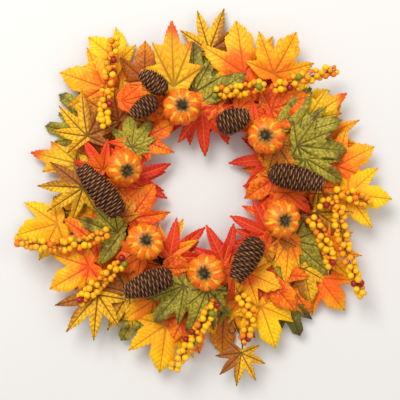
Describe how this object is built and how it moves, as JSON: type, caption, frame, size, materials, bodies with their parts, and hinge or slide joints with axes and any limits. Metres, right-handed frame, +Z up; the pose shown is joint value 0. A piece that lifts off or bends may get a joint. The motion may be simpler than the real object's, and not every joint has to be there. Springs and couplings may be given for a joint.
{
  "type": "harvest door wreath",
  "caption": "Autumn door wreath of cloth maple, oak and star leaves, small foam pumpkins, pine cones and bendable berry sprays on a taped vine ring.",
  "frame": {"origin": "the point inside the top of the ring where a door hook carries it", "axes": "+Z up, -Y towards the viewer in front of the door, +X to that viewer's right"},
  "size_m": [0.4986, 0.0726, 0.5003],
  "materials": {
    "ring": "matte vine wrapped in dark tape",
    "tape": "crimped paper tape, satin",
    "pumpkin": "painted foam, orange with yellow ribs",
    "stalk": "rough dark stub",
    "pine_cone": "matte dark scales with tan edges",
    "berries": "glossy yellow and orange beads",
    "wire": "dark covered wire",
    "green_leaf": "printed cloth, olive green",
    "red_leaf": "printed cloth, red",
    "rust_leaf": "printed cloth, half yellow and half rust",
    "orange_leaf": "printed cloth, orange to yellow",
    "yellow_leaf": "printed cloth, yellow with orange veins"
  },
  "bodies": {
    "ring": {"ring_frame": "ring", "floral_tape_1": "tape", "floral_tape_2": "tape", "floral_tape_3": "tape", "pumpkin_1": "pumpkin", "pumpkin_2": "pumpkin", "pumpkin_3": "pumpkin", "pumpkin_4": "pumpkin", "pumpkin_5": "pumpkin", "pumpkin_6": "pumpkin", "pumpkin_stalk_1": "stalk", "pumpkin_stalk_2": "stalk", "pumpkin_stalk_3": "stalk", "pumpkin_stalk_4": "stalk", "pumpkin_stalk_5": "stalk", "pumpkin_stalk_6": "stalk", "pine_cone_1": "pine_cone", "pine_cone_2": "pine_cone", "pine_cone_3": "pine_cone", "pine_cone_4": "pine_cone", "pine_cone_5": "pine_cone", "pine_cone_6": "pine_cone", "pine_cone_7": "pine_cone", "maple_pick_top": "orange_leaf", "maple_pick_top_right": "yellow_leaf", "maple_pick_upper_right": "orange_leaf", "maple_pick_right": "yellow_leaf", "maple_pick_lower_right": "yellow_leaf", "maple_pick_bottom_right": "orange_leaf", "maple_pick_bottom": "rust_leaf", "maple_pick_bottom_left": "yellow_leaf", "star_pick_lower_left": "rust_leaf", "maple_pick_left": "yellow_leaf", "star_pick_left": "rust_leaf", "maple_pick_upper_left": "yellow_leaf", "green_pick_upper_left": "green_leaf", "green_pick_top": "green_leaf", "green_pick_right": "green_leaf", "green_pick_lower_left": "green_leaf", "green_pick_lower_right": "green_leaf", "green_pick_bottom": "green_leaf", "orange_pick_upper_left": "orange_leaf", "red_pick_top": "red_leaf", "red_pick_upper_right": "red_leaf", "red_pick_lower_right": "red_leaf", "red_pick_bottom": "red_leaf", "red_pick_lower_left": "red_leaf", "red_pick_left": "red_leaf", "hanging_leaf_wire": "wire"},
    "berry_spray_top_left": {"berry_spray_top_left": "berries"},
    "berry_spray_top": {"berry_spray_top": "berries"},
    "berry_spray_top_right": {"berry_spray_top_right": "berries"},
    "berry_spray_right": {"berry_spray_right": "berries"},
    "berry_spray_lower_right_1": {"berry_spray_lower_right_1": "berries"},
    "berry_spray_lower_right_2": {"berry_spray_lower_right_2": "berries"},
    "berry_spray_bottom_1": {"berry_spray_bottom_1": "berries"},
    "berry_spray_bottom_2": {"berry_spray_bottom_2": "berries"},
    "berry_spray_lower_left": {"berry_spray_lower_left": "berries"},
    "berry_spray_left": {"berry_spray_left": "berries"},
    "hanging_leaf": {"hanging_leaf": "rust_leaf"}
  },
  "joints": [
    {"name": "berry_spray_top_left_bend", "type": "hinge", "parent": "ring", "child": "berry_spray_top_left", "pos_m": [-0.09766, -0.0075, -0.03288], "axis": [0.5664, 0, 0.8241], "range_deg": [0, 25]},
    {"name": "berry_spray_top_bend", "type": "hinge", "parent": "ring", "child": "berry_spray_top", "pos_m": [0.01239, -0.0075, 0.01785], "axis": [0.9945, 0, -0.1045], "range_deg": [0, 25]},
    {"name": "berry_spray_top_right_bend", "type": "hinge", "parent": "ring", "child": "berry_spray_top_right", "pos_m": [0.06454, -0.0075, -0.00062], "axis": [0.8387, 0, -0.5446], "range_deg": [0, 25]},
    {"name": "berry_spray_right_bend", "type": "hinge", "parent": "ring", "child": "berry_spray_right", "pos_m": [0.11846, -0.0075, -0.1031], "axis": [-0.0262, 0, -0.9997], "range_deg": [0, 25]},
    {"name": "berry_spray_lower_right_1_bend", "type": "hinge", "parent": "ring", "child": "berry_spray_lower_right_1", "pos_m": [0.11523, -0.0075, -0.12766], "axis": [-0.2334, 0, -0.9724], "range_deg": [0, 20]},
    {"name": "berry_spray_lower_right_2_bend", "type": "hinge", "parent": "ring", "child": "berry_spray_lower_right_2", "pos_m": [0.11785, -0.0075, -0.11239], "axis": [-0.1045, 0, -0.9945], "range_deg": [0, 25]},
    {"name": "berry_spray_bottom_1_bend", "type": "hinge", "parent": "ring", "child": "berry_spray_bottom_1", "pos_m": [0.03956, -0.0075, -0.2117], "axis": [-0.9426, 0, -0.3338], "range_deg": [0, 25]},
    {"name": "berry_spray_bottom_2_bend", "type": "hinge", "parent": "ring", "child": "berry_spray_bottom_2", "pos_m": [0.01547, -0.0075, -0.21749], "axis": [-0.9914, 0, -0.1305], "range_deg": [0, 20]},
    {"name": "berry_spray_lower_left_bend", "type": "hinge", "parent": "ring", "child": "berry_spray_lower_left", "pos_m": [-0.08806, -0.0075, -0.17929], "axis": [-0.6691, 0, 0.7431], "range_deg": [0, 25]},
    {"name": "berry_spray_left_bend", "type": "hinge", "parent": "ring", "child": "berry_spray_left", "pos_m": [-0.10826, -0.0075, -0.1482], "axis": [-0.4067, 0, 0.9135], "range_deg": [0, 25]},
    {"name": "hanging_leaf_swing", "type": "hinge", "parent": "ring", "child": "hanging_leaf", "pos_m": [0.05125, -0.015, -0.29125], "axis": [0, 1, 0], "range_deg": [-20, 20]}
  ]
}
